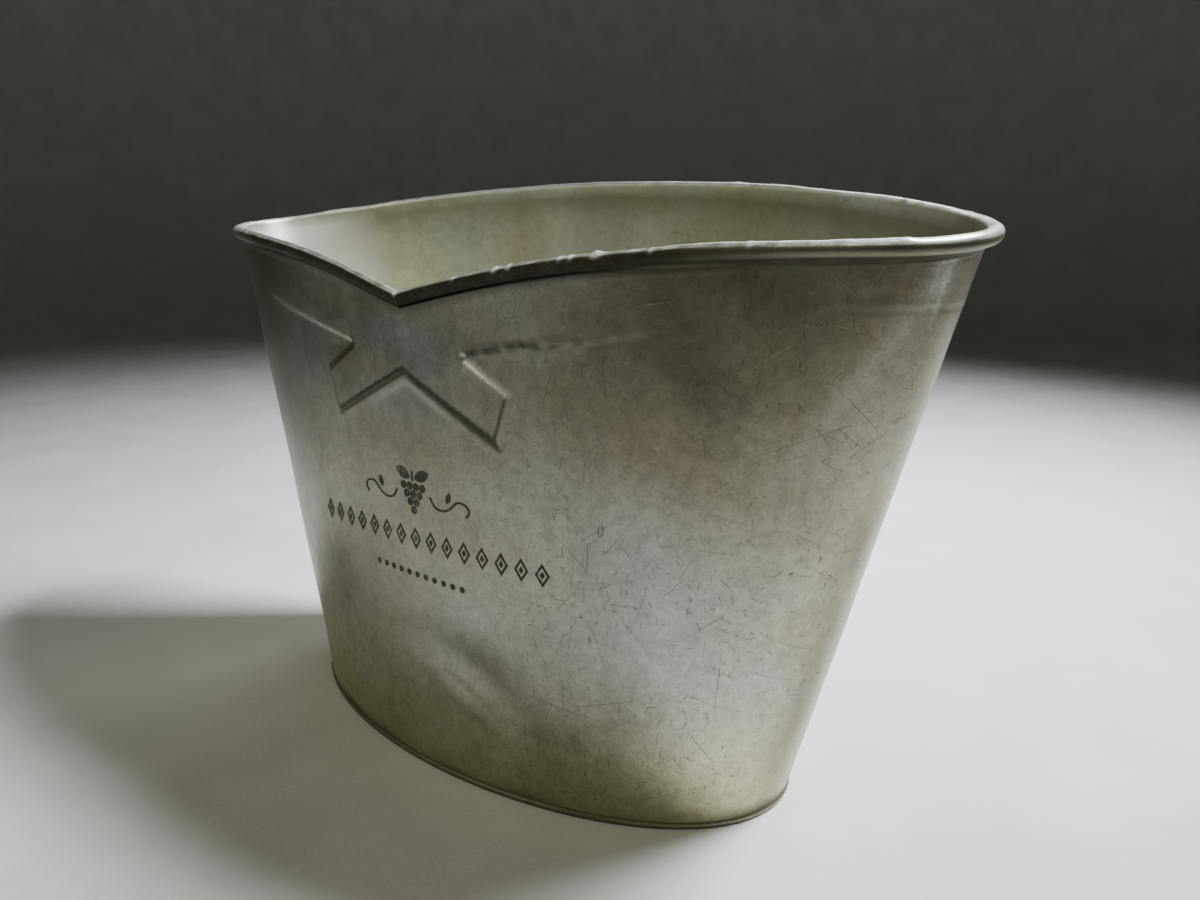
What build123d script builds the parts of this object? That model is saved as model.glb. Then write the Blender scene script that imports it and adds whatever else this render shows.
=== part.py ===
from build123d import *
import math
import os

# Oval sheet-metal champagne bucket with a V neck, a wired rim and a soldered-in base, in millimetres.
# Origin: centre of the foot, on the surface it stands on. +X along the long axis, V neck towards -Y, +Z up.

# Body: an upright oval cone, given by its outside semi-axes at the foot and at the reference height
WALL_HEIGHT = 232.0
FOOT_SEMI_X = 131.5
FOOT_SEMI_Y = 68.5
TOP_SEMI_X = 195.0
TOP_SEMI_Y = 67.5
SHEET = 1.4

# Top of the rim: its height at the two ends, its rise to the back, and the V that is cut in front
END_HEIGHT = 226.0
RIM_TILT = 5.4
BACK_CROWN = 11.8
NECK_DEPTH = 19.6
NECK_REACH = 135.0
NECK_POWER = 1.65

# Rim: the sheet is rolled outward over a wire, with a cove under the roll
WIRE_RADIUS = 1.3
WIRE_CLEARANCE = 0.05
ROLL_RADIUS = WIRE_RADIUS + WIRE_CLEARANCE + SHEET
COVE_TURN = 280
COVE_DROP = 2.8
COVE_HOLLOW = 0.4
SECTION_STEP = 10
SECTION_LIMIT = 110

# Foot: a lip turned in under the base, and a swaged bead outside
LIP_WIDTH = 5.0
FOOT_BEAD_HEIGHT = 2.4
FOOT_BEAD_PROUD = 0.8

# Pressed collar that crosses under the V and ends in two cut tails; corners are (x, z) on the +X side
RELIEF_RISE = 1.2
RELIEF_FADE_X = 112.0
RELIEF_LOW = 140.0
RELIEF_HIGH = 216.0
CROSSING = (0.0, 170.0)
TAIL_TIP = (47.5, 147.0)
TAIL_HEEL = (54.5, 167.0)
ARMPIT = (33.5, 179.0)
ARM_END = (106.0, 190.5)
RELIEF_FRONT = 40.0
RELIEF_UNDER_RIM = 6.4
RECESS_UNDER_RIM = 9.0

# Base: a pressed plate with a raised panel, resting on the lip and soldered from above
BASE_SHEET = 1.2
BASE_GAP = 0.25
PANEL_INSET = 16.0
PANEL_SLOPE = 3.0
PANEL_RISE = 2.4
SOLDER_LEG = 2.6
SOLDER_LAND = 0.4

# Front ornament: thin enamel on the wall, as a grape sprig over a row of lozenges and a row of dots
INK = 0.16
STROKE = 0.9
ARCH_RISE = 1.7
ROW_Z = 100.4
ROW_HALF_LENGTH = 68.0
LOZENGE_COUNT = 15
LOZENGE_WIDTH = 6.4
LOZENGE_HEIGHT = 9.4
DOT_ROW_Z = 85.5
DOT_COUNT = 11
DOT_PITCH = 5.2
DOT_RADIUS = 1.3
GRAPE_RADIUS = 1.7
GRAPE_PITCH = 3.8
GRAPE_ROWS = 4
BUNCH_TOP = 124.0


def semi_axes(z):
    """Outside semi-axes of the oval body at height z."""
    share = z / WALL_HEIGHT
    return (
        FOOT_SEMI_X + (TOP_SEMI_X - FOOT_SEMI_X) * share,
        FOOT_SEMI_Y + (TOP_SEMI_Y - FOOT_SEMI_Y) * share,
    )


def rim_height(angle):
    """Top of the rim at an angle of the oval: 0 is the +X end and -90 degrees is the V in front."""
    side = math.sin(angle)
    if side >= 0:
        return END_HEIGHT + RIM_TILT * side + BACK_CROWN * side**2
    notch = max(0.0, 1 - TOP_SEMI_X * math.cos(angle) / NECK_REACH)
    return END_HEIGHT + RIM_TILT * side - NECK_DEPTH * notch**NECK_POWER


def wall_point(angle, z, out=0.0):
    """Point of the body's outside surface, moved out level by some millimetres."""
    a, b = semi_axes(z)
    normal = Vector(math.cos(angle) / a, math.sin(angle) / b, 0).normalized()
    return Vector(a * math.cos(angle), b * math.sin(angle), z) + normal * out


def rim_frame(angle):
    """Centre of the roll, with its outward and upward directions square to the wall."""
    z = rim_height(angle) - ROLL_RADIUS
    normal = wall_point(angle, z, 1) - wall_point(angle, z)
    lean = (wall_point(angle, z + 1) - wall_point(angle, z)).dot(normal)
    up = (Vector(0, 0, 1) + normal * lean).normalized()
    out = (normal - up * normal.dot(up)).normalized()
    return wall_point(angle, z) + out * (ROLL_RADIUS - SHEET), out, up


def around_roll(angle, turn, radius):
    """Point at a turn around the roll's centre: 0 faces outward and 90 degrees faces up."""
    centre, out, up = rim_frame(angle)
    turn = math.radians(turn)
    return centre + (out * math.cos(turn) + up * math.sin(turn)) * radius


def sheet_section(angle):
    """Closed section of wall, cove and roll at one angle of the oval."""
    centre, out, up = rim_frame(angle)

    def on_roll(turn):
        return around_roll(angle, turn, ROLL_RADIUS)

    cove_top = on_roll(COVE_TURN)
    cove_foot = centre + out * (SHEET - ROLL_RADIUS) - up * (ROLL_RADIUS + COVE_DROP)
    cove_middle = (cove_top + cove_foot) / 2 + (up - out) * COVE_HOLLOW
    outer_foot = wall_point(angle, -1)
    inner_foot = wall_point(angle, -1, -SHEET)
    return Wire(
        [
            Edge.make_line(outer_foot, cove_foot),
            Edge.make_three_point_arc(cove_foot, cove_middle, cove_top),
            Edge.make_three_point_arc(cove_top, on_roll(0), on_roll(90)),
            Edge.make_three_point_arc(on_roll(90), on_roll(135), on_roll(180)),
            Edge.make_line(on_roll(180), inner_foot),
            Edge.make_line(inner_foot, outer_foot),
        ]
    )


def round_section(angle, radius):
    """Circle around the roll's centre at one angle of the oval, as three arcs."""
    points = [around_roll(angle, turn, radius) for turn in range(0, 361, 60)]
    return Wire([Edge.make_three_point_arc(*points[i : i + 3]) for i in (0, 2, 4)])


def half_loft(section):
    """Loft of a section around the +X half, run past both ends and cut at the middle plane."""
    steps = range(-SECTION_LIMIT, SECTION_LIMIT + 1, SECTION_STEP)
    whole = Solid.make_loft([section(math.radians(step)) for step in steps])
    return split(Part([whole]), bisect_by=Plane.YZ, keep=Keep.TOP)


def oval(inset, z, semi=None):
    """Flat oval face at height z, inset from the body's outside or from given semi-axes."""
    a, b = semi or semi_axes(z)
    return Plane.XY.offset(z) * Ellipse(a - inset, b - inset)


def frustum(inset_low, low, inset_high, high):
    """Oval cone between two heights, inset from the body's outside at each."""
    return loft([oval(inset_low, low), oval(inset_high, high)], ruled=True)


def relief_oval(z, inset=0.0):
    """Oval that stands proud of the body in front and meets it at the fading distance."""
    a, b = semi_axes(z)
    proud = b + RELIEF_RISE
    flat = b * math.sqrt(1 - (RELIEF_FADE_X / a) ** 2)
    long_axis = RELIEF_FADE_X / math.sqrt(1 - (flat / proud) ** 2)
    return oval(inset, z, (long_axis, proud))


def relief_outline(under_rim, inset):
    """Front view of the pressed collar: two arms under the V that cross and end in two cut tails."""

    def top(x):
        return x, rim_height(-math.acos(x / TOP_SEMI_X)) - under_rim

    reach = ARM_END[0]
    crossing, tip, heel, armpit = (Vector(*corner) for corner in (CROSSING, TAIL_TIP, TAIL_HEEL, ARMPIT))
    tail = (tip - crossing).normalized()
    side = Vector(-tail.Y, tail.X)
    corners = [
        crossing + Vector(0, inset / side.Y),
        tip + side * inset - tail * inset,
        heel - side * inset - tail * inset,
        armpit - side * inset,
        Vector(reach, ARM_END[1] + inset),
    ]
    lower = Polyline([(corner.X, corner.Y) for corner in corners])
    upper = Spline([top(x) for x in (reach, reach * 0.75, reach * 0.5, reach * 0.25, 0.0)])
    half = make_face(lower + [Line(lower @ 1, upper @ 0), upper, Line(upper @ 1, lower @ 0)])
    return half + mirror(half, Plane.YZ)


def relief(inset, under_rim):
    """Solid of the pressed collar, inset by a sheet's thickness for the hollow behind it."""
    cone = loft([relief_oval(RELIEF_LOW, inset), relief_oval(RELIEF_HIGH, inset)], ruled=True)
    front = Plane.XZ.offset(RELIEF_FRONT) * relief_outline(under_rim, inset)
    return cone & extrude(front, amount=TOP_SEMI_Y)


def foot_ring():
    """Lip under the base, and the swaged bead outside the wall's foot."""
    bead = extrude(oval(-FOOT_BEAD_PROUD, 0), amount=FOOT_BEAD_HEIGHT)
    bead = chamfer(bead.edges().group_by(Axis.Z)[-1], FOOT_BEAD_PROUD * 0.9)
    bead = chamfer(bead.edges().group_by(Axis.Z)[0], FOOT_BEAD_PROUD * 0.4)
    bead -= frustum(SHEET / 2, -1, SHEET / 2, FOOT_BEAD_HEIGHT + 1)
    lip = extrude(oval(SHEET / 2, 0), amount=SHEET) - extrude(oval(SHEET + LIP_WIDTH, 0), amount=SHEET)
    return bead + lip


def bucket_wall():
    half = half_loft(sheet_section)
    half -= half_loft(lambda angle: round_section(angle, WIRE_RADIUS + WIRE_CLEARANCE))
    wall = half + mirror(half, Plane.YZ)
    inside = frustum(SHEET, RELIEF_LOW - 5, SHEET, RELIEF_HIGH + 5)
    wall += relief(0, RELIEF_UNDER_RIM) - inside
    wall -= relief(SHEET, RECESS_UNDER_RIM)
    wall -= Pos(0, 0, -5) * Box(2 * TOP_SEMI_X, 2 * TOP_SEMI_X, 10)
    return wall + foot_ring()


def rim_wire():
    half = half_loft(lambda angle: round_section(angle, WIRE_RADIUS))
    return half + mirror(half, Plane.YZ)


def base_plate():
    """Pressed plate on the lip, with its panel raised off the table."""
    rim = SHEET + BASE_GAP
    low = SHEET
    edge = rim + PANEL_INSET
    top = edge + PANEL_SLOPE
    plate = extrude(oval(rim, low), amount=BASE_SHEET)
    plate += frustum(edge, low + BASE_SHEET, top, low + BASE_SHEET + PANEL_RISE)
    return plate - frustum(edge + BASE_SHEET, low, top + BASE_SHEET, low + PANEL_RISE)


def base_solder(wall):
    """Solder fillet in the corner between the base plate and the wall, touching both."""
    low = SHEET + BASE_SHEET
    high = low + SOLDER_LEG
    fillet = frustum(SHEET / 2, low, SHEET / 2, high)
    fillet -= frustum(SHEET + SOLDER_LEG, low, SHEET + SOLDER_LAND, high)
    return fillet - wall


def arch(z, x):
    """Height of a gently arched row at a distance from the middle."""
    return z + ARCH_RISE * (1 - (x / ROW_HALF_LENGTH) ** 2)


def lozenge_row():
    """Row of open lozenges, each with a solid core."""
    pitch = 2 * (ROW_HALF_LENGTH - LOZENGE_WIDTH / 2) / (LOZENGE_COUNT - 1)
    shapes = Sketch()
    for index in range(LOZENGE_COUNT):
        x = (index - (LOZENGE_COUNT - 1) / 2) * pitch
        at = Pos(x, arch(ROW_Z, x))
        for scale_by, cut_by in ((1.0, 0.66), (0.33, 0)):
            width, height = LOZENGE_WIDTH / 2 * scale_by, LOZENGE_HEIGHT / 2 * scale_by
            shape = Polygon((width, 0), (0, height), (-width, 0), (0, -height))
            shapes += at * (shape - scale(shape, cut_by) if cut_by else shape)
    return shapes


def dot_row():
    shapes = Sketch()
    for index in range(DOT_COUNT):
        x = (index - (DOT_COUNT - 1) / 2) * DOT_PITCH
        shapes += Pos(x, arch(DOT_ROW_Z, x) - ARCH_RISE / 2) * Circle(DOT_RADIUS)
    return shapes


def leaf(length, width):
    """Pointed leaf along +X from the origin."""
    upper = ThreePointArc((0, 0), (length * 0.45, width / 2), (length, 0))
    lower = ThreePointArc((length, 0), (length * 0.45, -width / 2), (0, 0))
    return make_face([upper, lower])


def grape_sprig():
    """Bunch of grapes under a stem, with a leaf and a curling tendril on each side."""
    shapes = Sketch()
    for row in range(GRAPE_ROWS):
        count = GRAPE_ROWS - row
        for place in range(count):
            x = (place - (count - 1) / 2) * GRAPE_PITCH
            shapes += Pos(x, BUNCH_TOP - row * GRAPE_PITCH * 0.87) * Circle(GRAPE_RADIUS)
    stem = Line((0, BUNCH_TOP + 2.2), (0, BUNCH_TOP + 6.4))
    shapes += trace(stem, STROKE)
    vine = Spline([(10, 121.5), (15, 117.0), (21, 118.5), (26, 122.0), (31, 120.0), (29.5, 116.5)])
    side = trace(vine, STROKE) + Pos(1.4, BUNCH_TOP + 3.4) * Rot(0, 0, 22) * leaf(9.0, 4.6)
    side += Pos(19.5, 120.4) * Rot(0, 0, 70) * leaf(5.0, 2.6)
    return shapes + side + mirror(side, Plane.YZ)


def enamel(sketch, wall):
    """A flat drawing laid on the front wall as a thin skin that touches it face to face."""
    def skin(angle):
        low, high = DOT_ROW_Z - 15, BUNCH_TOP + 15
        ring = [wall_point(angle, z, out) for z, out in ((low, -1), (low, INK), (high, INK), (high, -1))]
        return Wire([Edge.make_line(ring[i - 1], ring[i]) for i in range(4)])

    shell = Part([Solid.make_loft([skin(math.radians(step)) for step in range(-150, -29, SECTION_STEP)])])
    block = extrude(Plane.XZ * sketch, amount=TOP_SEMI_Y + 10)
    return (block & shell) - wall


def main():
    os.makedirs("parts", exist_ok=True)
    wall = bucket_wall()
    nodes = {
        "bucket_wall": wall,
        "rim_wire": rim_wire(),
        "base_plate": base_plate(),
        "base_solder": base_solder(wall),
        "grape_sprig_enamel": enamel(grape_sprig(), wall),
        "lozenge_row_enamel": enamel(lozenge_row(), wall),
        "dot_row_enamel": enamel(dot_row(), wall),
    }
    for name, shape in nodes.items():
        export_step(shape, f"parts/{name}.step")


if __name__ == "__main__":
    main()
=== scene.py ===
"""Looks of the oval champagne bucket: a worn pewter-grey sheet wall with a rolled rim, on its CAD frame.

Lengths and places are in millimetres, and are turned into metres where Blender gets them.
"""
import math

import bpy
import numpy as np
from mathutils import Matrix, Vector


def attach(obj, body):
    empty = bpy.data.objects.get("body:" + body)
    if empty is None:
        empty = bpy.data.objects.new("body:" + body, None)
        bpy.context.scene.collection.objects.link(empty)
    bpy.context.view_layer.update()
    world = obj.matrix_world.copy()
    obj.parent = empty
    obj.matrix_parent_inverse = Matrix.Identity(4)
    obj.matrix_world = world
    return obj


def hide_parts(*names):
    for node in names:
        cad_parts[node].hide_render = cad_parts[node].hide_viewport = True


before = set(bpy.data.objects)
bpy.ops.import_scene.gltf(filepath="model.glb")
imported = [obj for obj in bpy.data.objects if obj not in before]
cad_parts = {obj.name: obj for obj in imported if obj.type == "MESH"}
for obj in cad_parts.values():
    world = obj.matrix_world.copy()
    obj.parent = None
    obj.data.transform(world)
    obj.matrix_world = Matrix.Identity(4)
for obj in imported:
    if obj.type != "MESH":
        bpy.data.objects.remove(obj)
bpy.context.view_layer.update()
MM = 0.001

# Body: an upright oval cone, given by its outside semi-axes at the foot and at the reference height
WALL_HEIGHT = 232.0
FOOT_SEMI_X, FOOT_SEMI_Y = 131.5, 68.5
TOP_SEMI_X, TOP_SEMI_Y = 195.0, 67.5
MEAN_SEMI_Y = (FOOT_SEMI_Y + TOP_SEMI_Y) / 2
SHEET = 1.4

# Rim line, with the V in front, and the wired roll with its cove
END_HEIGHT, RIM_TILT, BACK_CROWN = 226.0, 5.4, 11.8
NECK_DEPTH, NECK_REACH, NECK_POWER = 19.6, 135.0, 1.65
WIRE_BORE = 1.35
ROLL_RADIUS = WIRE_BORE + SHEET
COVE_TURN, COVE_HOLLOW = -80.0, 0.3
COVE_DROP_FRONT, COVE_DROP_ENDS = 0.7, 2.8

# Pressed collar: outline of its foot on the +X side, and how its flank rises inside that outline
COLLAR = [(0.0, 170.0), (47.5, 147.0), (54.5, 167.0), (33.5, 179.0), (130.0, 194.3)]
COLLAR_RISE, COLLAR_FADE_X, COLLAR_FLANK, COLLAR_FILLET = 1.45, 112.0, 2.3, 6.0
ABOVE_RIM = 260.0
SNAP_WITHIN = 0.42

# Section of the foot as (out, height): lip under the base, then the bead outside
FOOT_SECTION = [
    (-1.55, 1.45), (-6.2, 1.4), (-6.4, 1.2), (-6.4, 0.2), (-6.2, 0.0), (0.3, 0.0),
    (0.62, 0.12), (0.8, 0.45), (0.8, 1.5), (0.66, 2.0), (0.3, 2.35), (0.05, 2.7),
]
WALL_START = 3.2
INSIDE_FOOT = 1.6


# ---------------------------------------------------------------- the bucket's surface


def semi_axes(z):
    """Outside semi-axes of the oval body at height z."""
    up = z / WALL_HEIGHT
    return FOOT_SEMI_X + (TOP_SEMI_X - FOOT_SEMI_X) * up, FOOT_SEMI_Y + (TOP_SEMI_Y - FOOT_SEMI_Y) * up


def rim_height(angle):
    """Top of the rim at an angle of the oval: 0 is the +X end and -90 degrees is the V."""
    side = np.sin(angle)
    notch = np.maximum(0, 1 - TOP_SEMI_X * np.abs(np.cos(angle)) / NECK_REACH)
    curve = np.where(side >= 0, BACK_CROWN * side**2, -NECK_DEPTH * notch**NECK_POWER)
    return END_HEIGHT + RIM_TILT * side + curve


def level_normal(angle, z):
    """Level direction square to the oval at height z."""
    a, b = semi_axes(z)
    normal = np.stack([np.cos(angle) / a, np.sin(angle) / b, 0 * angle * z], -1)
    return normal / np.linalg.norm(normal, axis=-1, keepdims=True)


def wall_point(angle, z, out=0.0):
    """Point of the body's outside surface, moved out level."""
    a, b = semi_axes(z)
    base = np.stack([a * np.cos(angle), b * np.sin(angle), z + 0 * angle], -1)
    return base + level_normal(angle, z) * np.asarray(out)[..., None]


def rim_frame(angle):
    """Centre of the roll, with its outward and upward directions square to the wall."""
    z = rim_height(angle) - ROLL_RADIUS
    normal = level_normal(angle, z)
    lean = ((wall_point(angle, z + 1) - wall_point(angle, z)) * normal).sum(-1, keepdims=True)
    up = np.array([0.0, 0.0, 1.0]) + normal * lean
    up /= np.linalg.norm(up, axis=-1, keepdims=True)
    out = normal - up * (normal * up).sum(-1, keepdims=True)
    out /= np.linalg.norm(out, axis=-1, keepdims=True)
    return wall_point(angle, z) + out * (ROLL_RADIUS - SHEET), out, up


def smooth(value, low, high):
    """0 below low, 1 above high, and an even slope between."""
    t = np.clip((value - low) / (high - low), 0, 1)
    return t * t * (3 - 2 * t)


def spot(x, z, at, radii, turn=0.0):
    """Soft round or oval spot, 1 at its middle, in the front view's x and z."""
    c, s = math.cos(math.radians(turn)), math.sin(math.radians(turn))
    u, v = (x - at[0]) * c + (z - at[1]) * s, (z - at[1]) * c - (x - at[0]) * s
    return np.exp(-((u / radii[0]) ** 2 + (v / radii[1]) ** 2))


def waves(seed, length, *coords):
    """Smooth unevenness of about unit size: sines in seeded directions, with waves of about a length."""
    random = np.random.default_rng(seed)
    total = 0.0
    count = 9
    for _ in range(count):
        direction = random.normal(size=len(coords))
        direction *= 2 * math.pi / (length * random.uniform(0.7, 1.6) * np.linalg.norm(direction))
        along = sum(d * c for d, c in zip(direction, coords))
        total = total + np.sin(along + random.uniform(0, 2 * math.pi))
    return total / math.sqrt(count / 2)


def collar_edges(x, z):
    """Distance into the collar's outline in the front view, negative outside, and the nearest edge:
    0 under the tail, 1 its end, 2 on top of the tail, 3 under the arm."""
    x = np.abs(x)
    corners = COLLAR + [(COLLAR[-1][0], ABOVE_RIM), (0.0, ABOVE_RIM)]
    gaps = []
    inside = np.zeros(np.shape(x), bool)
    for (x0, z0), (x1, z1) in zip(corners, corners[1:] + corners[:1]):
        dx, dz = x1 - x0, z1 - z0
        along = np.clip(((x - x0) * dx + (z - z0) * dz) / (dx * dx + dz * dz), 0, 1)
        gaps.append(np.hypot(x - x0 - dx * along, z - z0 - dz * along))
        crosses = (z0 > z) != (z1 > z)
        inside ^= crosses & (x < x0 + dx * (z - z0) / (dz if dz else 1e-9))
    gaps = np.array(gaps[: len(COLLAR) - 1])
    nearest = gaps.min(0)
    return np.where(inside, nearest, -nearest), gaps.argmin(0)


def collar_strength(x, front):
    """How much of the pressed collar there is: all at the V, none past its fading distance or behind."""
    return np.clip(1 - (x / COLLAR_FADE_X) ** 2, 0, 1) * front


def pressed(angle, z):
    """How far the sheet stands out of the plain oval."""
    x = semi_axes(z)[0] * np.cos(angle)
    front = smooth(-np.sin(angle), 0.1, 0.3)
    distance = collar_edges(x, z)[0]
    flank, fillet = np.clip(distance / COLLAR_FLANK, 0, 1) ** 1.4, smooth(distance, -COLLAR_FILLET, 0.4)
    out = COLLAR_RISE * (0.9 * flank + 0.1 * fillet) * collar_strength(x, front)
    out = out * (1 - 0.4 * smooth(-x, 34, 60))  # the -X side is pressed less deep

    # Dent low in front with a ridge under it, a hollow toward the +X end, and a low ridge round that end
    out -= 1.2 * front * spot(x, z, (31, 52), (21, 9.5), -22)
    out += 0.35 * front * spot(x, z, (26, 37), (24, 4.5), -24)
    out -= 0.5 * front * spot(x, z, (140, 165), (14, 34), 22)
    end = smooth(np.cos(angle), 0.80, 0.95)
    out += 0.1 * end * np.exp(-(((z - 203) / 2.0) ** 2))

    # Unevenness all over, which fades toward the foot and the rim
    y = MEAN_SEMI_Y * np.sin(angle)
    calm = smooth(z, 4, 24) * smooth(rim_height(angle) - z, 3, 16)
    uneven = 0.22 * waves(3, 95, x, y, z) + 0.05 * waves(5, 34, x, y, z) + 0.012 * waves(7, 13, x, y, z)
    return out + calm * uneven


def column_angles():
    """Angles of the mesh's columns: closest in front, where the collar is, with one exactly at the V."""
    degrees = np.linspace(-90, 270, 20001)
    angle = np.radians(degrees)
    speed = np.hypot(TOP_SEMI_X * np.sin(angle), TOP_SEMI_Y * np.cos(angle))
    keys = [-90, -58, -20, 10, 60, 120, 180, 236, 270]
    spacing = np.interp(degrees, keys, [1.05, 1.05, 1.9, 2.6, 4.8, 5.8, 3.8, 1.1, 1.05])
    density = speed / spacing
    total = np.concatenate([[0], np.cumsum((density[1:] + density[:-1]) / 2 * np.diff(angle))])
    return np.interp(np.linspace(0, total[-1], int(total[-1]) + 1)[:-1], total, angle)


RIM_NICKS = {  # degrees round the oval: size
    -105.4: 0.6, -80.5: 0.35, -74.5: 0.8, -72.6: 0.65, -66.0: 0.4, -64.6: 0.45, -61.6: 1.2, -55.0: 0.35,
    -43.7: 0.45, -30.5: 0.3, -22.0: 0.35, 24.0: 0.4, 71.0: 0.5, 118.0: 0.4, 152.0: 0.5,
}


def rim_nicks(angle):
    """Burrs along the rim, each at its nearest column: height of the raised metal, 1 for the biggest."""
    total = 0.0
    for degrees, size in RIM_NICKS.items():
        at = angle[np.abs(angle - math.radians(degrees)).argmin()]
        gap = (angle - at + math.pi) % (2 * math.pi) - math.pi
        speed = math.hypot(TOP_SEMI_X * math.sin(at), TOP_SEMI_Y * math.cos(at))
        total = total + size * np.exp(-((gap * speed / (0.55 + 0.75 * size)) ** 2))
    return total


def grid_faces(rows, columns, first, outward=True):
    """Quads of a grid that closes both ways, with its vertices numbered row by row."""
    row, column = np.meshgrid(np.arange(rows), np.arange(columns), indexing="ij")
    below, right = (row + 1) % rows, (column + 1) % columns
    row, below = row * columns + first, below * columns + first
    quads = np.stack([row + column, row + right, below + right, below + column], -1).reshape(-1, 4)
    return quads if outward else quads[:, ::-1]


def snap_to_collar(angle, z):
    """Moves grid points that lie beside the collar's foot or face line onto it, so that it is crisp."""
    x = semi_axes(z)[0] * np.cos(angle)
    step = 0.05
    distance = collar_edges(x, z)[0]
    slope_x = (collar_edges(x + step, z)[0] - collar_edges(x - step, z)[0]) / (2 * step)
    slope_z = (collar_edges(x, z + step)[0] - collar_edges(x, z - step)[0]) / (2 * step)
    off = distance - np.where(distance > COLLAR_FLANK / 2, COLLAR_FLANK, 0)
    near = (np.abs(off) < SNAP_WITHIN) & (np.sin(angle) < -0.5) & (np.abs(x) < 100)
    x = np.where(near, x - off * slope_x, x)
    z = np.where(near, z - off * slope_z, z)
    turned = -np.arccos(np.clip(x / semi_axes(z)[0], -1, 1))
    return np.where(near, turned, angle), z


def rim_bend(angle):
    """Where the rim is bent from its even line: up on the -X side of the V, down near the +X end."""
    x = TOP_SEMI_X * np.cos(angle)
    front = smooth(-np.sin(angle), 0.1, 0.4)
    up = 1.5 * np.exp(-(((x + 52) / 34) ** 2)) - 0.6 * np.exp(-(((x - 115) / 30) ** 2))
    return front * up - 0.8 * np.exp(-(((x - 186) / 18) ** 2)) * smooth(-np.sin(angle), -0.1, 0.2)


def outside_rows(angles, cove_foot):
    """Rows of the outside wall, from the foot bead up to the cove. The rows are closest by the collar."""
    plain = np.linspace(0, 0.6, 48, endpoint=False)
    for share in np.concatenate([plain, np.linspace(0.6, 1, 98)]):
        angle, z = snap_to_collar(angles, WALL_START + share * (cove_foot[:, 2] - WALL_START))
        yield wall_point(angle, z, pressed(angle, z)), outside_marks(angle, z)


def rolled_rows(angles, centre, out, up, ends, cove_foot):
    """Rows of the cove and the roll, with the roll's unevenness and nicks, up to its inner side."""
    uneven = 0.035 * waves(11, 26, angles * 180) + 0.012 * waves(12, 7, angles * 180)
    lift = 0.09 * waves(13, 60, angles * 180) + 0.015 * waves(14, 12, angles * 180)
    nicks = rim_nicks(angles)

    def on_roll(turn):
        """Points of the roll at a turn in degrees: 0 is outward and 90 is up."""
        radius = ROLL_RADIUS + uneven * smooth(turn, COVE_TURN, 0) * smooth(180 - turn, 0, 60)
        burr = nicks * np.exp(-(((turn - 68) / 18) ** 2))
        radius = radius + 0.85 * burr - 0.35 * nicks * np.exp(-(((turn - 8) / 18) ** 2))
        turn = np.radians(turn)
        arm = out * np.cos(turn) + up * np.sin(turn)
        return centre + arm * np.asarray(radius)[:, None] + up * (lift * max(0, math.sin(turn)))[:, None]

    cove_top = on_roll(COVE_TURN)
    # Cove under the roll: painted shade through the dirt and oxide marks.
    for share in (0.2, 0.4, 0.6, 0.8):
        hollow = COVE_HOLLOW * 4 * share * (1 - share)
        points = cove_foot * (1 - share) + cove_top * share + (up - out) * hollow
        yield points, {"grime_and_shade": 0.8 + 0.15 * share, "patina_and_shade": 0.9, "warm": 0.5 * ends}
    # Top of the roll: burnished metal plus a painted highlight, stronger at the ends, with painted glints
    # on the nicks. Its outer face below that and its underside by the cove: painted shade.
    edge = 47 - 14 * ends + 2.5 * waves(16, 24, angles * 180)
    for turn in np.linspace(COVE_TURN, 180, 21):
        burnish_and_highlight = smooth(turn - edge, -9, 9) * smooth(168 - turn, 0, 26)
        burnish_and_highlight = burnish_and_highlight * (0.8 + 0.2 * waves(15, 9, angles * 180)) * (0.55 + 0.45 * ends)
        burnish_and_highlight = np.clip(burnish_and_highlight + 3.0 * nicks * math.exp(-(((turn - 62) / 26) ** 2)), 0, 1.8)
        under_roll_shade = math.exp(-(((turn - COVE_TURN) / 40) ** 2))
        face = (1 - 0.35 * ends) * (1 - smooth(turn - edge, -4, 12))
        grime_and_shade = np.maximum(0.85 * under_roll_shade, face * (0.95 - 0.4 * ends))
        yield on_roll(turn), {"wear_and_highlight": burnish_and_highlight, "grime_and_shade": grime_and_shade, "patina_and_shade": face}


def inside_rows(angles, top):
    """Rows of the inside wall, from the roll down to the lip."""
    close = np.linspace(0.02, 0.4, 24, endpoint=False)
    for share in np.concatenate([close, np.linspace(0.4, 1, 14)]):
        z = top + share * (INSIDE_FOOT - top)
        # Painted shade: darker toward the +X end, in a band under the roll and at the back; a painted
        # highlight at the -X end; a brown stain; darker at the foot of the inside wall.
        shade = 0.54 * smooth(np.cos(angles), -0.2, 0.9) + 0.7 * np.exp(-(((top - z) / 13) ** 2))
        shade = shade + 0.4 * np.exp(-(((angles - 1.62) / 0.22) ** 2))
        yield wall_point(angles, z, pressed(angles, z) - SHEET), {
            "patina_and_shade": np.clip(shade, 0, 1),
            "wear_and_highlight": 0.8 * smooth(-np.cos(angles), 0.74, 0.93),
            "warm": 0.6 * np.exp(-(((angles - 1.92) / 0.10) ** 2)),
            "grime_and_shade": 0.5 * smooth(-z, -9, -1),
        }


def foot_rows(angles):
    """Rows of the lip under the base and of the bead outside it."""
    for out_by, height in FOOT_SECTION:
        hem = 1.0 if out_by > 0.5 and height > 1 else 0.0
        points = wall_point(angles, np.full(len(angles), height), out_by)
        # A faint painted highlight on the bead's hem; painted shade and dirt on the rest of the foot, all
        # of it darkened through the oxide mark too.
        yield points, {"wear_and_highlight": 0.08 * hem, "grime_and_shade": 0.6 * (1 - hem), "patina_and_shade": 1.0}


def bore_rows(centre, out, up):
    """Rows of the hole in the roll, around the wire."""
    for turn in np.arange(8) * math.pi / 4:
        yield centre + (out * math.cos(turn) + up * math.sin(turn)) * WIRE_BORE, {}


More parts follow.
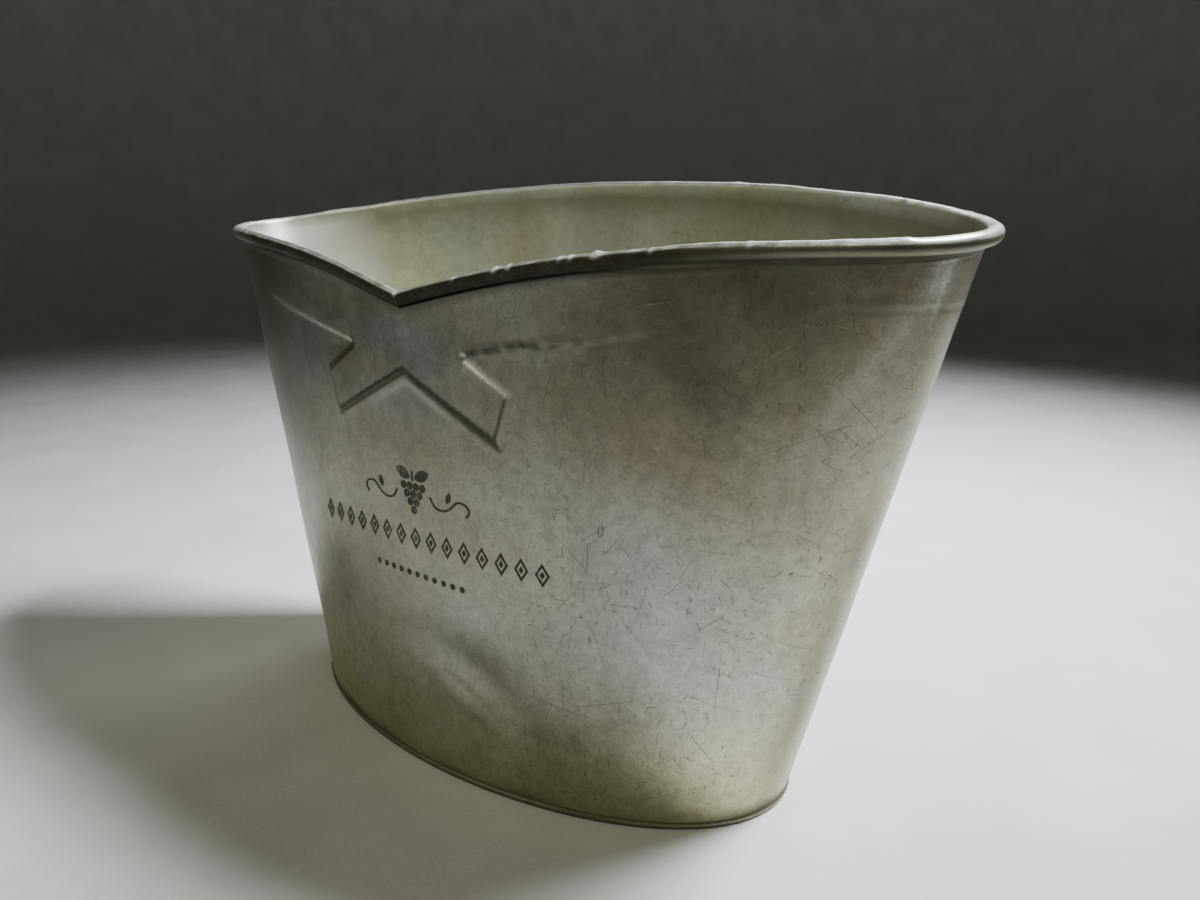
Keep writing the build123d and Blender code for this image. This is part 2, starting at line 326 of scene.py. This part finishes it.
def wall_mesh():
    """The rolled sheet as one closed mesh, with the wire's bore, and its marks as point attributes: worn
    metal with painted highlights, dirt with painted shade, stains, and oxide with painted shade.
    """
    angles = column_angles()
    columns = len(angles)
    straight, out, up = rim_frame(angles)
    centre = straight + up * rim_bend(angles)[:, None]
    ends = smooth(np.abs(np.cos(angles)), 0.55, 0.85)
    drop = COVE_DROP_FRONT + (COVE_DROP_ENDS - COVE_DROP_FRONT) * ends
    cove_foot = centre + out * (SHEET - ROLL_RADIUS) - up * (ROLL_RADIUS + drop)[:, None]

    outer = [*outside_rows(angles, cove_foot), *rolled_rows(angles, centre, out, up, ends, cove_foot)]
    inner = list(inside_rows(angles, centre[:, 2]))
    foot = list(foot_rows(angles))
    bore = list(bore_rows(straight, out, up))
    rows = outer + inner + foot + bore
    skin = len(rows) - len(bore)
    faces = np.concatenate([
        grid_faces(skin, columns, 0), grid_faces(len(bore), columns, skin * columns, outward=False)
    ])
    points = np.concatenate([points for points, _ in rows]) * MM
    mesh = bpy.data.meshes.new("bucket_wall_sheet")
    mesh.from_pydata(points.tolist(), [], faces.tolist())
    for name in ("wear_and_highlight", "grime_and_shade", "warm", "cool", "patina_and_shade", "scuff"):
        values = [np.broadcast_to(marks.get(name, 0.0), columns) for _, marks in rows]
        layer = mesh.attributes.new(name, "FLOAT", "POINT")
        layer.data.foreach_set("value", np.concatenate(values).astype(np.float32))

    # The inside material starts a few rows before the inside wall, on the roll's inner side
    row_of_face = faces.min(1) // columns
    inside = (row_of_face >= len(outer) - 4) & (row_of_face < len(outer) + len(inner))
    mesh.polygons.foreach_set("material_index", inside.astype(np.int32))
    mesh.polygons.foreach_set("use_smooth", np.ones(len(faces), bool))
    mesh.update()
    return mesh


# Stains in the front view: strength, place (x, z), radii, turn in degrees
WARM_STAINS = [
    (0.9, (104, 157), (20, 13), 0), (0.7, (122, 146), (16, 15), 0), (0.7, (152, 166), (9, 24), 25),
    (0.8, (169, 193), (6, 12), 15), (1.0, (177, 209), (9, 8), 20), (0.35, (120, 205), (30, 12), 0),
]
COOL_STAINS = [
    (0.9, (-8, 186), (24, 9), 0), (0.8, (14, 176), (14, 9), 0),
    (0.7, (-81, 172), (30, 22), 0), (0.6, (2, 158), (28, 9), 0),
]


def stains(x, z, spots):
    """Sum of the spots of one kind of stain."""
    return sum(strength * spot(x, z, at, radii, turn) for strength, at, radii, turn in spots)


def collar_marks(x, z, front):
    """Painted shade with dirt in the collar's creases and on its flanks, painted highlights on its crests,
    a painted reflection under its tail, and darker oxide with painted shade on its -X tail.
    """
    distance, edge = collar_edges(x, z)
    strength = np.sqrt(collar_strength(x, front))
    right = smooth(x, -4, 4)
    face_line = np.exp(-(((distance - COLLAR_FLANK) / 0.6) ** 2))
    foot_line = np.exp(-(((distance - 0.1) / 0.5) ** 2))
    flank = smooth(distance, -0.9, 0.3) * smooth(-distance, -3.5, -2.4)
    under_tail_shade = 0.95 * smooth(distance, -2.8, -0.8) * smooth(-distance, -0.6, 0.0)
    arm_underside_shade = smooth(distance, -0.9, 0.6) * smooth(-distance, -6.2, -3.2)
    blotch = 0.8 + 0.2 * waves(21, 5, x, z)
    # Per edge: painted shade on the flanks under and at the end of the tails and on the -X tail's top,
    # lines along the face and foot, and a wide band of painted shade under the arm, strongest on the +X
    # side.
    by_edge = [
        flank * (0.7 + 0.3 * right) + face_line * (0.9 - 0.3 * right) + foot_line * 0.35 + under_tail_shade * right,
        face_line * (0.7 + 0.3 * right) + (0.5 - 0.35 * right) * flank,
        (0.7 * face_line + 0.55 * flank) * (1 - right),
        arm_underside_shade * (0.28 + 0.67 * right) * blotch + face_line * (0.7 - 0.5 * right),
    ]
    grime_and_shade = strength * np.clip(np.choose(edge, by_edge), 0, 1)
    on_tail = (edge == 2) * strength
    # Painted highlight on the top flank of the +X tail, a faint one on the flank under the -X arm, and a
    # lighter band of painted reflection below the tails.
    crest_highlight = on_tail * right * np.exp(-(((distance - 1.0) / 1.5) ** 2)) * smooth(x, 31, 36)
    crest_highlight = crest_highlight + 0.1 * (edge == 3) * (1 - right) * strength * flank
    fillet_reflection = np.exp(-(((distance + 3.2) / 1.6) ** 2)) * smooth(z, 148, 166)
    crest_highlight = crest_highlight + 0.36 * (edge == 0) * strength * fillet_reflection
    # Darker on the -X tail's top flank and in a spot beside it: oxide and painted shade.
    patina_and_shade = on_tail * (1 - right) * (0.7 * flank + 0.5 * spot(x, z, (-40, 176), (14, 10)))
    return grime_and_shade, crest_highlight, patina_and_shade


def painted_highlights(angle, x, z, front):
    """Painted highlights and reflections: lighter metal past a line slanting down from the +X end, under
    the rim there, and low in front.
    """
    past_line = angle + 0.25 + 0.0050 * (209 - z)
    wear_and_highlight = 0.14 * np.exp(-((past_line / 0.045) ** 2)) * smooth(z, 125, 190)
    wear_and_highlight = wear_and_highlight + 0.06 * smooth(past_line, -0.04, 0.04) * smooth(-angle, 0, 0.1) * smooth(z, 110, 180)
    under_rim = np.exp(-(((angle + 0.19) / 0.05) ** 2)) * np.exp(-(((z - 209) / 8) ** 2))
    wear_and_highlight = wear_and_highlight + 0.5 * under_rim * (0.75 + 0.25 * waves(25, 3, angle * 180))
    return wear_and_highlight + 0.09 * front * spot(x, z, (20, 75), (75, 48))


def outside_marks(angle, z):
    """Worn metal with painted highlights, dirt with painted shade, oxide with painted shade, and stains of
    the outside wall at points of one row.
    """
    x = semi_axes(z)[0] * np.cos(angle)
    front = smooth(-np.sin(angle), 0.05, 0.3)
    below_rim = rim_height(angle) + rim_bend(angle) - z
    grime_and_shade, crest_highlight, patina_and_shade = collar_marks(x, z, front)
    chip = spot(x, z, (33.6, 174.6), (1.1, 1.1))

    # Painted shade with dirt: darker by the foot, and painted shade under the low ridge at the +X end,
    # under the cove and in the dent
    ridge_foot = smooth(np.cos(angle), 0.80, 0.92) * np.exp(-(((z - 200.6) / 1.1) ** 2))
    grime_and_shade = np.maximum(grime_and_shade, 0.8 * smooth(-z, -8, -2.5) * (0.75 + 0.25 * waves(22, 40, x, z)))
    grime_and_shade = np.maximum(grime_and_shade, 0.45 * ridge_foot)
    grime_and_shade = np.maximum(grime_and_shade, 0.6 * smooth(-below_rim, -10.5, -7.5))
    grime_and_shade = np.maximum(grime_and_shade, 0.35 * spot(x, z, (28, 43), (20, 1.6), -24))

    # Darker by the foot, and painted shade toward the -X end, high up toward the +X end, under the rim but
    # less above the collar's +X arm, and down the +X end
    patina_and_shade = patina_and_shade + 0.12 * smooth(-z, -38, -3) * (0.7 + 0.3 * waves(23, 60, x, z))
    patina_and_shade = patina_and_shade + 0.95 * front * smooth(-x, 45, 115) * smooth(z, 80, 150)
    patina_and_shade = patina_and_shade + 0.55 * front * spot(x, z, (132, 196), (50, 34))
    patina_and_shade = patina_and_shade + 0.3 * np.exp(-((below_rim / 9) ** 2)) - 0.6 * front * spot(x, z, (58, 203), (34, 13))
    patina_and_shade = patina_and_shade + 0.85 * np.exp(-(((angle + 0.12) / 0.12) ** 2)) * (0.8 + 0.2 * waves(24, 50, x, z))
    return {
        "wear_and_highlight": np.clip(0.9 * crest_highlight + painted_highlights(angle, x, z, front) + 0.5 * chip, 0, 1),
        "grime_and_shade": np.clip(grime_and_shade, 0, 1),
        "warm": np.clip(stains(x, z, WARM_STAINS) * front, 0, 1),
        "cool": np.clip(stains(x, z, COOL_STAINS) * front, 0, 1),
        "patina_and_shade": np.clip(patina_and_shade, 0, 1),
        "scuff": np.clip(0.3 + 0.7 * smooth(x, -20, 90), 0, 1),
    }


# ---------------------------------------------------------------- materials


class Shader:
    """One node material. Inputs are numbers, tuples or the sockets of other nodes."""

    def __init__(self, name):
        self.material = bpy.data.materials.new(name)
        self.material.use_nodes = True
        self.tree = self.material.node_tree
        self.bsdf = self.tree.nodes["Principled BSDF"]
        self.place = self.node("ShaderNodeTexCoord").outputs["Object"]

    def node(self, kind, inputs=None, **settings):
        """New node with its inputs set or linked."""
        node = self.tree.nodes.new(kind)
        for key, value in settings.items():
            setattr(node, key, value)
        for key, value in (inputs or {}).items():
            self.put(node.inputs[key], value)
        return node

    def put(self, socket, value):
        """Links another node's socket to an input, or sets its value."""
        if isinstance(value, bpy.types.NodeSocket):
            self.tree.links.new(value, socket)
        elif value is not None:
            socket.default_value = value

    def math(self, operation, a, b=None):
        return self.node("ShaderNodeMath", {0: a, 1: b}, operation=operation).outputs[0]

    def vector(self, operation, a, b=None):
        node = self.node("ShaderNodeVectorMath", {0: a, 1: b}, operation=operation)
        return node.outputs["Value" if operation in ("DOT_PRODUCT", "LENGTH") else "Vector"]

    def range(self, value, low, high, to_low=0.0, to_high=1.0):
        """Maps low..high smoothly onto to_low..to_high."""
        inputs = {"Value": value, "From Min": low, "From Max": high, "To Min": to_low, "To Max": to_high}
        return self.node("ShaderNodeMapRange", inputs, interpolation_type="SMOOTHSTEP").outputs[0]

    def mix(self, share, a, b, blend="MIX"):
        """Colour a where share is 0, and b where it is 1."""
        node = self.node("ShaderNodeMix", {"Factor": share}, data_type="RGBA", blend_type=blend)
        for socket, value in zip((s for s in node.inputs if s.type == "RGBA"), (a, b)):
            self.put(socket, (*value, 1.0) if isinstance(value, tuple) else value)
        return next(s for s in node.outputs if s.type == "RGBA")

    def noise(self, size, detail=3.0, rough=0.5, stretch=(1, 1, 1), offset=0.0):
        """Noise with features of about one size in millimetres."""
        spots = self.node("ShaderNodeMapping", {
            "Vector": self.place, "Scale": stretch, "Location": (offset, offset * 0.37, -offset * 0.61)
        }).outputs[0]
        inputs = {"Vector": spots, "Scale": 1 / (size * MM), "Detail": detail, "Roughness": rough}
        return self.node("ShaderNodeTexNoise", inputs).outputs[0]

    def shade(self, colour, value):
        """Colour times a grey value."""
        grey = self.node("ShaderNodeCombineColor", {0: value, 1: value, 2: value}).outputs[0]
        return self.mix(1.0, colour, grey, "MULTIPLY")

    def mark(self, name):
        """A point attribute of the mesh."""
        return self.node("ShaderNodeAttribute", attribute_name=name).outputs["Fac"]

    def scratches(self, cell, length, width, share, offset):
        """Short straight scratches: in each cell, a thin random plane through its point, cut short."""
        bend = self.node("ShaderNodeTexNoise", {"Vector": self.place, "Scale": 1 / (2 * cell * MM)})
        bend = self.vector("MULTIPLY", bend.outputs["Color"], (cell * MM * 0.12,) * 3)
        spots = self.vector("ADD", self.place, bend)
        spots = self.vector("ADD", spots, (offset, offset * 0.7, offset * 0.3))
        cells = self.node("ShaderNodeTexVoronoi", {"Vector": spots, "Scale": 1 / (cell * MM)})
        across = self.vector("SUBTRACT", cells.outputs["Color"], (0.5, 0.5, 0.5))
        across = self.vector("NORMALIZE", self.vector("MULTIPLY", across, (1, 0.25, 1)))
        away = self.vector("SUBTRACT", spots, cells.outputs["Position"])
        off_line = self.math("ABSOLUTE", self.vector("DOT_PRODUCT", away, across))
        line = self.range(off_line, width * MM * 0.35, width * MM, 1.0, 0.0)
        ends = self.range(self.vector("LENGTH", away), length * MM * 0.3, length * MM * 0.5, 1.0, 0.0)
        chance = self.node("ShaderNodeSeparateColor", {"Color": cells.outputs["Color"]}).outputs[0]
        chosen = self.range(chance, 1 - share, 1 - share + 0.08)
        return self.math("MULTIPLY", self.math("MULTIPLY", line, ends), chosen)

    def pits(self, cell, radius, share, offset):
        """Small round pits, one in some of the cells."""
        spots = self.vector("ADD", self.place, (offset, -offset, offset * 0.5))
        cells = self.node("ShaderNodeTexVoronoi", {"Vector": spots, "Scale": 1 / (cell * MM)})
        dot = self.range(cells.outputs["Distance"], radius / cell * 0.5, radius / cell, 1.0, 0.0)
        chance = self.node("ShaderNodeSeparateColor", {"Color": cells.outputs["Color"]}).outputs[1]
        return self.math("MULTIPLY", dot, self.range(chance, 1 - share, 1 - share + 0.08))

    def bump(self, height, depth, under=None):
        """Adds a height of 0..1, as deep as depth in millimetres."""
        inputs = {"Height": height, "Distance": depth * MM, "Strength": 1.0, "Normal": under}
        return self.node("ShaderNodeBump", inputs).outputs[0]

    def finish(self, colour, roughness, normal=None, metallic=1.0):
        """Sets the surface's inputs and gives back the material."""
        self.put(self.bsdf.inputs["Base Color"], colour)
        self.put(self.bsdf.inputs["Roughness"], roughness)
        self.put(self.bsdf.inputs["Metallic"], metallic)
        self.put(self.bsdf.inputs["Normal"], normal)
        return self.material


# The olive for low on the wall is a painted reflection of the floor; the oxide colour and the dirt colour
# paint shade as well.
OLIVE, GREY, BLUE_GREY = (0.37, 0.36, 0.265), (0.47, 0.47, 0.43), (0.35, 0.385, 0.41)
FLOOR_REFLECTION_OLIVE, BROWN, PATINA_AND_SHADE = (0.46, 0.45, 0.25), (0.36, 0.28, 0.19), (0.15, 0.145, 0.08)
DIRT_AND_SHADE, BRIGHT = (0.022, 0.020, 0.013), (0.94, 0.93, 0.88)


def outside_metal():
    """Worn pewter-grey sheet: clouds, stains, a painted floor reflection low down and oxide with painted
    shade, then scratches and pits, then dirt with painted shade, then worn metal with painted highlights.
    """
    s = Shader("pewter_outside")
    broad, middle, fine = s.noise(120), s.noise(26, 4, 0.6, offset=3), s.noise(5, 5, 0.7, offset=7)
    streak, grain = s.noise(14, 4, 0.6, (1, 1, 0.22), offset=9), s.noise(1.2, 3, 0.6, offset=17)
    colour = s.mix(s.range(broad, 0.35, 0.65), OLIVE, GREY)
    height = s.node("ShaderNodeSeparateXYZ", {0: s.place}).outputs["Z"]
    # Painted reflection of the floor: olive toward the foot.
    colour = s.mix(s.range(height, 0.005, 0.08, 0.8, 0.0), colour, FLOOR_REFLECTION_OLIVE)
    colour = s.mix(s.math("MULTIPLY", s.range(middle, 0.5, 0.8), 0.35), colour, BLUE_GREY)
    colour = s.mix(s.math("MULTIPLY", s.mark("cool"), 0.7), colour, BLUE_GREY)
    warm = s.math("MULTIPLY", s.mark("warm"), s.range(middle, 0.2, 0.7, 0.3, 0.65))
    colour = s.mix(warm, colour, BROWN)
    # Oxide with painted shade, from the mark that carries both.
    patina_and_shade = s.math("MULTIPLY", s.mark("patina_and_shade"), s.range(fine, 0.2, 0.7, 0.8, 1.0))
    colour = s.mix(s.math("MULTIPLY", patina_and_shade, 0.9), colour, PATINA_AND_SHADE)
    cloud = s.math("MULTIPLY", s.range(middle, 0.25, 0.75, 0.86, 1.08), s.range(fine, 0.3, 0.7, 0.84, 1.10))
    cloud = s.math("MULTIPLY", cloud, s.range(streak, 0.3, 0.7, 0.94, 1.04))
    cloud = s.math("MULTIPLY", cloud, s.range(grain, 0.35, 0.65, 0.93, 1.06))
    colour = s.shade(colour, cloud)

    scuff = s.mark("scuff")
    layers = [
        s.scratches(34, 50, 0.15, 0.6, 1.3), s.scratches(15, 16, 0.14, 0.5, 2.1),
        s.scratches(8, 6, 0.16, 0.6, 4.7), s.scratches(4.2, 2.6, 0.2, 0.7, 6.1),
        s.scratches(23, 30, 0.12, 0.6, 7.9), s.pits(6, 0.4, 0.5, 0.9), s.pits(11, 0.7, 0.35, 5.3),
    ]
    marks = layers[0]
    for layer in layers[1:]:
        marks = s.math("MAXIMUM", marks, layer)
    worn_here = s.math("MULTIPLY", scuff, s.range(s.noise(48, 3, offset=12), 0.36, 0.6, 0.4, 1.0))
    marks = s.math("MULTIPLY", marks, worn_here)
    ticks = s.range(s.noise(1.0, 2, 0.5, (1, 1, 0.16), offset=14), 0.62, 0.74)
    ticks = s.math("MULTIPLY", ticks, s.math("MULTIPLY", worn_here, 0.5))
    colour = s.mix(s.math("MAXIMUM", s.math("MULTIPLY", marks, 0.7), ticks), colour, DIRT_AND_SHADE)
    # Dirt with painted shade, from the mark that carries both.
    grime_and_shade = s.math("MULTIPLY", s.mark("grime_and_shade"), s.range(fine, 0.15, 0.6, 0.7, 1.0))
    colour = s.mix(s.math("MULTIPLY", grime_and_shade, 0.92), colour, DIRT_AND_SHADE)
    # Worn metal with painted highlights, from the mark that carries both.
    wear_and_highlight = s.math("MULTIPLY", s.mark("wear_and_highlight"), s.range(grain, 0.35, 0.65, 0.7, 1.1))
    colour = s.mix(wear_and_highlight, colour, BRIGHT)

    rough = s.range(middle, 0.2, 0.8, 0.33, 0.43)
    rough = s.math("ADD", rough, s.math("MULTIPLY", grime_and_shade, 0.3))
    rough = s.math("SUBTRACT", rough, s.math("MULTIPLY", s.math("MINIMUM", wear_and_highlight, 1.0), 0.12))
    s.put(s.bsdf.inputs["Specular IOR Level"], s.math("SUBTRACT", 0.5, s.math("MULTIPLY", grime_and_shade, 0.4)))
    normal = s.bump(fine, 0.03)
    normal = s.bump(s.noise(1.1, 3, 0.6, offset=15), 0.010, normal)
    normal = s.bump(s.math("MULTIPLY", marks, -1), 0.05, normal)
    metallic = s.math("SUBTRACT", 1.0, s.math("MULTIPLY", grime_and_shade, 0.7))
    metallic = s.math("SUBTRACT", metallic, s.math("MULTIPLY", wear_and_highlight, 0.4))
    return s.finish(colour, rough, normal, metallic)


def inside_metal():
    """Duller sheet of the inside, with fewer scratches."""
    s = Shader("pewter_inside")
    broad, middle = s.noise(95, offset=21), s.noise(22, 4, 0.6, offset=23)
    fine, run = s.noise(4, 5, 0.7, offset=27), s.noise(30, 3, 0.5, (1, 1, 0.15), offset=29)
    colour = s.mix(s.range(broad, 0.4, 0.62), (0.44, 0.45, 0.33), (0.56, 0.56, 0.50))
    colour = s.mix(s.range(s.noise(75, offset=31), 0.52, 0.72, 0, 0.3), colour, (0.48, 0.39, 0.25))
    colour = s.mix(s.range(s.noise(80, offset=35), 0.5, 0.7, 0, 0.4), colour, (0.42, 0.46, 0.48))
    cloud = s.math("MULTIPLY", s.range(middle, 0.25, 0.75, 0.88, 1.08), s.range(run, 0.3, 0.7, 0.9, 1.05))
    colour = s.shade(colour, s.math("MULTIPLY", cloud, s.range(fine, 0.3, 0.7, 0.88, 1.08)))
    marks = s.math("MAXIMUM", s.scratches(30, 30, 0.12, 0.35, 8.3), s.pits(8, 0.5, 0.3, 3.9))
    marks = s.math("MAXIMUM", marks, s.scratches(11, 9, 0.14, 0.6, 5.9))
    colour = s.mix(s.math("MULTIPLY", marks, 0.45), colour, DIRT_AND_SHADE)
    colour = s.mix(s.math("MULTIPLY", s.mark("warm"), 0.6), colour, BROWN)
    # Painted shade through the oxide and dirt marks, and a painted highlight at the -X end through the
    # worn-metal mark.
    colour = s.mix(s.math("MULTIPLY", s.mark("patina_and_shade"), 0.7), colour, PATINA_AND_SHADE)
    colour = s.mix(s.math("MULTIPLY", s.mark("grime_and_shade"), 0.8), colour, DIRT_AND_SHADE)
    colour = s.mix(s.mark("wear_and_highlight"), colour, BRIGHT)
    normal = s.bump(s.noise(1.3, 3, 0.6, offset=37), 0.014, s.bump(fine, 0.05))
    return s.finish(colour, s.range(middle, 0.2, 0.8, 0.42, 0.54), normal, 0.72)


def base_metal():
    """Base plate, with the tide marks of melted ice."""
    s = Shader("pewter_base")
    rings = s.noise(40, 5, 0.6, offset=41)
    colour = s.mix(s.range(rings, 0.42, 0.58), (0.34, 0.34, 0.29), (0.50, 0.50, 0.46))
    tide = s.range(s.math("ABSOLUTE", s.math("SUBTRACT", rings, 0.52)), 0.0, 0.02, 0.7, 0.0)
    colour = s.mix(tide, colour, (0.62, 0.61, 0.56))
    marks = s.math("MAXIMUM", s.scratches(22, 26, 0.15, 0.6, 9.1), s.pits(7, 0.5, 0.5, 7.7))
    colour = s.mix(s.math("MULTIPLY", marks, 0.55), colour, DIRT_AND_SHADE)
    normal = s.bump(s.noise(1.2, 3, 0.6, offset=43), 0.014, s.bump(s.noise(6, 4, offset=45), 0.06))
    return s.finish(colour, s.range(rings, 0.3, 0.7, 0.42, 0.6), normal)


def solder_metal():
    """Dull lumpy solder."""
    s = Shader("solder")
    lumps = s.noise(3.2, 3, 0.55, offset=51)
    colour = s.mix(s.range(lumps, 0.35, 0.65), (0.36, 0.36, 0.34), (0.62, 0.61, 0.58))
    normal = s.bump(lumps, 0.25)
    return s.finish(colour, s.range(lumps, 0.3, 0.7, 0.38, 0.6), normal)


def wire_metal():
    """Drawn steel wire with some rust."""
    s = Shader("wire_steel")
    drawn = s.noise(1.5, 3, 0.6, offset=55)
    colour = s.mix(s.range(drawn, 0.4, 0.65), (0.42, 0.41, 0.40), (0.30, 0.22, 0.16))
    return s.finish(colour, s.range(drawn, 0.3, 0.7, 0.35, 0.6), s.bump(drawn, 0.02))


def enamel():
    """Dark enamel, rubbed through to the metal in specks and patches."""
    s = Shader("worn_enamel")
    patch, speck = s.noise(7, 4, 0.6, offset=61), s.noise(1.0, 3, 0.65, offset=63)
    faded = s.math("MULTIPLY", s.range(patch, 0.55, 0.75), 0.6)
    rubbed = s.math("MAXIMUM", faded, s.range(speck, 0.56, 0.70))
    rubbed = s.math("MAXIMUM", rubbed, s.scratches(6, 7, 0.2, 0.45, 3.3))
    colour = s.mix(s.range(patch, 0.3, 0.7), (0.030, 0.028, 0.022), (0.060, 0.056, 0.042))
    colour = s.mix(s.math("MULTIPLY", rubbed, 0.75), colour, (0.34, 0.33, 0.27))
    rough = s.range(speck, 0.3, 0.7, 0.5, 0.75)
    return s.finish(colour, rough, s.bump(speck, 0.03), s.math("MULTIPLY", rubbed, 0.7))


def floor_material():
    s = Shader("pale_floor")
    colour = s.mix(s.range(s.noise(60, 4, offset=71), 0.3, 0.7), (0.60, 0.60, 0.59), (0.66, 0.66, 0.65))
    return s.finish(colour, 0.85, s.bump(s.noise(2, 3, offset=73), 0.3), 0.0)


# ---------------------------------------------------------------- pieces


def add_piece(name, mesh, materials, slot, *nodes):
    """Puts a mesh in the scene in place of CAD nodes, riding on the bucket's one body."""
    piece = bpy.data.objects.new(name, mesh)
    bpy.context.scene.collection.objects.link(piece)
    for material in materials:
        mesh.materials.append(material)
    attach(piece, "root")
    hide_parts(*nodes)
    return piece


def print_on_wall(node, material):
    """An enamel mark: the CAD mark's own mesh, following the uneven sheet under it."""
    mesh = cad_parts[node].data.copy()
    mesh.name = node + "_print"
    mesh.materials.clear()
    points = np.zeros(len(mesh.vertices) * 3)
    mesh.vertices.foreach_get("co", points)
    points = points.reshape(-1, 3) / MM
    a = semi_axes(points[:, 2])[0]
    angle = -np.arccos(points[:, 0] / a)
    points += level_normal(angle, points[:, 2]) * pressed(angle, points[:, 2])[:, None]
    mesh.vertices.foreach_set("co", (points * MM).ravel())
    mesh.update()
    return add_piece(node + "_print", mesh, [material], "dark_enamel", node)


def paint_node(node, material):
    """A CAD node whose shape stays gets a better material."""
    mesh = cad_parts[node].data
    mesh.materials.clear()
    mesh.materials.append(material)


def make_bucket():
    skins = [outside_metal(), inside_metal()]
    add_piece("bucket_wall_sheet", wall_mesh(), skins, "pewter_sheet", "bucket_wall")
    ink = enamel()
    for node in ("grape_sprig_enamel", "lozenge_row_enamel", "dot_row_enamel"):
        print_on_wall(node, ink)
    paint_node("base_plate", base_metal())
    paint_node("base_solder", solder_metal())
    paint_node("rim_wire", wire_metal())


# ---------------------------------------------------------------- floor, light and camera

FLOOR_RADIUS, BACKDROP_BEND, BACKDROP_HEIGHT = 1500.0, 900.0, 2800.0
CAMERA_DISTANCE, CAMERA_HEIGHT, CAMERA_ROUND = 414.84, 232.84, 43.82
CAMERA_YAW, CAMERA_PITCH, CAMERA_ROLL = -4.445, 14.6, -0.267
CAMERA_LENS = 28.30


def make_floor():
    """Round floor that curves up into a backdrop far behind and around the bucket."""
    section = [(0.0, 0.0), (FLOOR_RADIUS, 0.0)]
    for turn in np.radians(np.arange(6, 91, 6)):
        out, up = BACKDROP_BEND * math.sin(turn), BACKDROP_BEND * (1 - math.cos(turn))
        section.append((FLOOR_RADIUS + out, up))
    section.append((FLOOR_RADIUS + BACKDROP_BEND, BACKDROP_HEIGHT))
    sides = 96
    points = [(0, 0, 0)]
    turns = np.arange(sides) * 2 * math.pi / sides
    for radius, height in np.array(section[1:]) * MM:
        points += [(radius * math.cos(turn), radius * math.sin(turn), height) for turn in turns]
    faces = [(0, 1 + side, 1 + (side + 1) % sides) for side in range(sides)]
    for ring in range(len(section) - 2):
        start = 1 + ring * sides
        for side in range(sides):
            after = (side + 1) % sides
            faces.append((start + side, start + sides + side, start + sides + after, start + after))
    mesh = bpy.data.meshes.new("floor")
    mesh.from_pydata(points, [], faces)
    mesh.materials.append(floor_material())
    mesh.polygons.foreach_set("use_smooth", np.ones(len(faces), bool))
    floor = bpy.data.objects.new("floor", mesh)
    bpy.context.scene.collection.objects.link(floor)


def area_light(name, at, aim, size, power, colour, spread):
    """Soft box, with a grid that keeps its light within a cone of spread degrees."""
    data = bpy.data.lights.new(name, "AREA")
    data.shape = "RECTANGLE"
    data.size, data.size_y = size[0] * MM, size[1] * MM
    data.energy = power
    data.color = colour
    data.spread = math.radians(spread)
    light = bpy.data.objects.new(name, data)
    bpy.context.scene.collection.objects.link(light)
    light.location = Vector(at) * MM
    light.rotation_euler = (Vector(at) - Vector(aim)).to_track_quat("Z", "Y").to_euler()


def make_light():
    """Key from behind at +X, a wash over the floor in front, weak fills, a rim strip and a faint world."""
    area_light("key_softbox", (560, 610, 1320), (-60, 260, 0), (420, 340), 10, (0.96, 0.98, 1.0), 60)
    area_light("wash", (-500, -900, 1600), (-1300, -2000, 300), (700, 500), 3.4, (1.0, 1.0, 0.85), 90)
    area_light("front_softbox", (900, -1300, 1300), (80, -90, 0), (700, 600), 0.2, (1.0, 1.0, 0.66), 36)
    area_light("rim_strip", (-500, 1200, 1350), (0, 0, 200), (1700, 260), 0.95, (1.0, 1.0, 0.92), 50)
    area_light("left_strip", (-520, -1350, 1400), (0, 0, 200), (400, 400), 0.24, (1.0, 1.0, 0.80), 30)
    world = bpy.data.worlds.new("studio")
    world.use_nodes = True
    background = world.node_tree.nodes["Background"]
    background.inputs["Color"].default_value = (0.95, 0.95, 0.66, 1)
    background.inputs["Strength"].default_value = 0.035
    bpy.context.scene.world = world


def make_camera():
    """Camera placed round the bucket, aimed a little off its axis and tipped down."""
    data = bpy.data.cameras.new("camera")
    data.lens = CAMERA_LENS
    camera = bpy.data.objects.new("camera", data)
    bpy.context.scene.collection.objects.link(camera)
    around, heading = math.radians(CAMERA_ROUND), math.radians(CAMERA_ROUND + CAMERA_YAW)
    pitch, roll = math.radians(CAMERA_PITCH), math.radians(CAMERA_ROLL)
    forward = Vector((-math.sin(heading), math.cos(heading), 0))
    level = Vector((math.cos(heading), math.sin(heading), 0))
    ahead = forward * math.cos(pitch) - Vector((0, 0, math.sin(pitch)))
    above = level.cross(ahead)
    right = level * math.cos(roll) + above * math.sin(roll)
    up = above * math.cos(roll) - level * math.sin(roll)
    place = Vector((math.sin(around), -math.cos(around), 0)) * CAMERA_DISTANCE
    place.z = CAMERA_HEIGHT
    turned = Matrix((right, up, -ahead)).transposed().to_4x4()
    camera.matrix_world = Matrix.Translation(place * MM) @ turned
    bpy.context.scene.camera = camera


make_camera()
make_bucket()
make_floor()
make_light()
